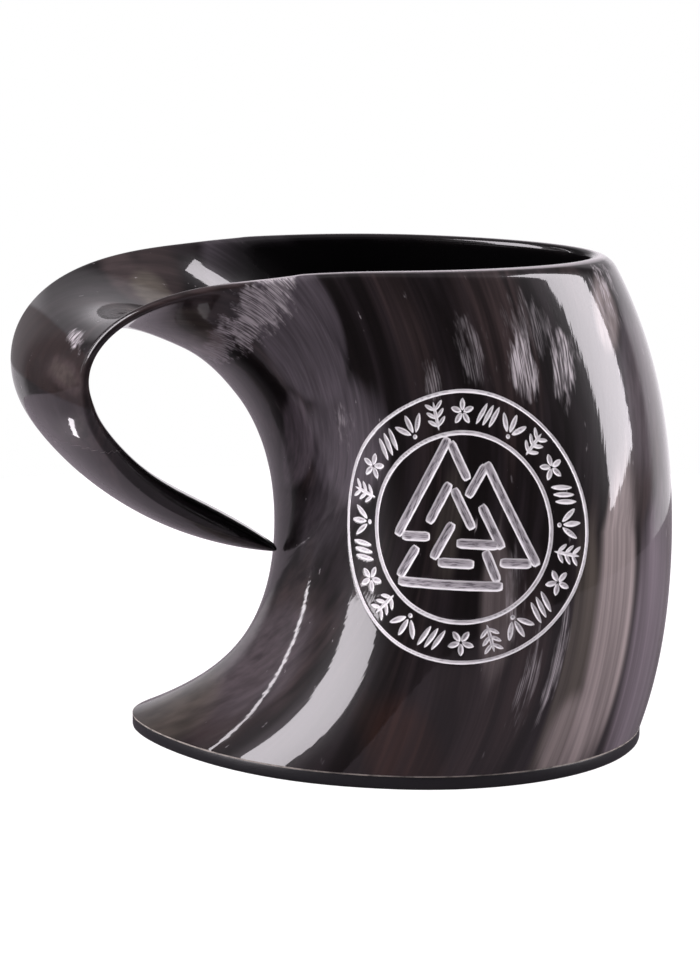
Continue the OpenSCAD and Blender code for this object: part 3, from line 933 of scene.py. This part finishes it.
def paper_material(colour):
    """Uncoated paper, dull and even. It glows by itself, for the camera alone, so that it looks as
    bright as the wall behind it."""
    material, tree, shader = new_material("matt_white_paper")
    shader.inputs["Base Color"].default_value = opaque(colour)
    shader.inputs["Roughness"].default_value = 0.9
    shader.inputs["Specular IOR Level"].default_value = 0.1
    shader.inputs["Emission Color"].default_value = WHITE
    seen = add_node(tree, "ShaderNodeLightPath", output="Is Camera Ray")
    glow = add_node(tree, "ShaderNodeMapRange", {0: seen, 4: FLOOR_GLOW})
    tree.links.new(glow, shader.inputs["Emission Strength"])
    return material


def add_floor(stage, colours):
    """The round table top that the cup stands on."""
    bm = bmesh.new()
    bmesh.ops.create_circle(bm, cap_ends=True, segments=128, radius=stage.table_radius)
    mesh = bpy.data.meshes.new("floor")
    bm.to_mesh(mesh)
    bm.free()
    floor = bpy.data.objects.new("floor", mesh)
    bpy.context.scene.collection.objects.link(floor)
    mesh.materials.append(paper_material(colours.floor))


def add_light(name, angles, size, distance, radiance, colour, aim):
    """A rectangular light that faces the cup; angles are round it from the front, above it and the
    light's own roll, in degrees."""
    azimuth, elevation, roll = (math.radians(angle) for angle in angles)
    away = seen_from(azimuth, elevation)
    width, height = size
    data = bpy.data.lights.new(name, "AREA")
    data.shape = "RECTANGLE"
    data.size, data.size_y = width, height
    data.energy = radiance * width * height * math.pi
    data.color = colour
    light = bpy.data.objects.new(name, data)
    light.location = aim + away * distance
    turn = away.to_track_quat("Z", "Y") @ Quaternion((0, 0, 1), roll)
    light.rotation_euler = turn.to_euler()
    light.visible_camera = False
    bpy.context.scene.collection.objects.link(light)


def studio_world(colours):
    """A pale wall behind the cup, brighter on the right and low down, and a dim ceiling. The camera
    itself sees plain white."""
    world = bpy.data.worlds.new("studio")
    world.use_nodes = True
    tree = world.node_tree
    tree.nodes.clear()
    direction = add_node(tree, "ShaderNodeTexCoord", output="Generated")
    side = add_node(tree, "ShaderNodeSeparateXYZ", {0: direction}).node.outputs
    towards = add_node(
        tree, "ShaderNodeVectorMath", {0: direction, 1: WALL_MIDDLE}, "Value",
        operation="DOT_PRODUCT",
    )
    wall = add_node(tree, "ShaderNodeMapRange", {0: towards, 1: 0.6, 2: 0.74}, **EASED)
    right = add_node(
        tree, "ShaderNodeMapRange", {0: side["X"], 1: -0.45, 2: 0.2, 3: 0.38, 4: 1.1}
    )
    low = add_node(
        tree, "ShaderNodeMapRange", {0: side["Z"], 1: 0.17, 2: 0.34, 3: 1.0, 4: 0.45}, **EASED
    )
    wall = add_node(tree, "ShaderNodeMath", {0: wall, 1: right}, operation="MULTIPLY")
    wall = add_node(tree, "ShaderNodeMath", {0: wall, 1: low, 2: 0.06}, **MULTIPLY_ADD)
    above = add_node(
        tree, "ShaderNodeMapRange", {0: side["Z"], 1: 0.55, 2: 0.95, 4: 0.25}, **EASED
    )
    light = add_node(tree, "ShaderNodeMath", {0: wall, 1: above}, operation="MAXIMUM")
    seen = add_node(tree, "ShaderNodeLightPath", output="Is Camera Ray")
    strength = add_node(tree, "ShaderNodeMapRange", {0: seen, 3: light, 4: 1.0})
    sky = add_node(tree, "ShaderNodeMix", {0: seen, 6: opaque(colours.lamp), 7: WHITE}, 2, **BLEND)
    background = add_node(tree, "ShaderNodeBackground", {"Color": sky, "Strength": strength})
    add_node(tree, "ShaderNodeOutputWorld", {"Surface": background})
    return world


def add_camera(stage, aim):
    """The camera, which looks at the aim."""
    camera = bpy.data.objects.new("camera", bpy.data.cameras.new("camera"))
    camera.data.lens = stage.lens
    camera.data.sensor_width = SENSOR_WIDTH
    camera.data.clip_start = NEAREST_SEEN
    back = seen_from(stage.azimuth, stage.elevation)
    camera.location = aim + back * stage.distance
    camera.rotation_euler = back.to_track_quat("Z", "Y").to_euler()
    bpy.context.scene.collection.objects.link(camera)
    bpy.context.scene.camera = camera


class HORNCUP_OT_stage(bpy.types.Operator):
    """Adds the floor, the lights and the camera"""

    bl_idname = "horncup.stage"
    bl_label = "Stage"

    def execute(self, context):
        scene = context.scene
        stage, colours = scene.horn_cup_stage, scene.horn_cup_colours
        near, far = stage.near_distance, stage.far_distance
        aim = Vector((stage.aim_x, 0, stage.aim_z))
        add_floor(stage, colours)
        # Angles in degrees, width, height and distance in metres, radiance
        for name, angles, size, distance, radiance in (
            ("left_soft_box", (-65, 25, 0), (0.42, 0.9), near, 10),
            ("right_soft_box", (88.5, 28, 13.5), (0.48, 1.25), far, 10.5),
            ("left_slit", (-107, 20, 0), (0.025, 0.8), near, 9),
            ("low_card", (-99, -18, 34), (0.026, 0.005), 0.144, 6),
        ):
            add_light(name, angles, size, distance, radiance, colours.lamp, aim)
        scene.world = studio_world(colours)
        scene.view_settings.view_transform = "Standard"
        add_camera(stage, aim)
        return {"FINISHED"}


class HORNCUP_PT_panel(bpy.types.Panel):
    """Lists the cup's sizes, colours and builders"""

    bl_idname = "HORNCUP_PT_panel"
    bl_label = "Horn cup"
    bl_space_type = "VIEW_3D"
    bl_region_type = "UI"
    bl_category = "Horn cup"

    def draw(self, context):
        layout, scene = self.layout, context.scene
        for group in (scene.horn_cup_sizes, scene.horn_cup_colours, scene.horn_cup_stage):
            box = layout.box()
            for name in group.__annotations__:
                box.prop(group, name)
        for operator in OPERATORS:
            layout.operator(operator.bl_idname)


OPERATORS = (HORNCUP_OT_horn, HORNCUP_OT_base, HORNCUP_OT_stage)
GROUPS = (HornCupSizes, HornCupColours, HornCupStage)


def register():
    for item in (*GROUPS, *OPERATORS, HORNCUP_PT_panel):
        bpy.utils.register_class(item)
    bpy.types.Scene.horn_cup_sizes = PointerProperty(type=HornCupSizes)
    bpy.types.Scene.horn_cup_colours = PointerProperty(type=HornCupColours)
    bpy.types.Scene.horn_cup_stage = PointerProperty(type=HornCupStage)


def unregister():
    for name in ("horn_cup_sizes", "horn_cup_colours", "horn_cup_stage"):
        delattr(bpy.types.Scene, name)
    for item in (HORNCUP_PT_panel, *reversed(OPERATORS), *reversed(GROUPS)):
        bpy.utils.unregister_class(item)


def main():
    """Builds everything."""
    register()
    bpy.ops.horncup.stage()
    bpy.ops.horncup.horn()
    bpy.ops.horncup.base()


if __name__ == "__main__":
    main()
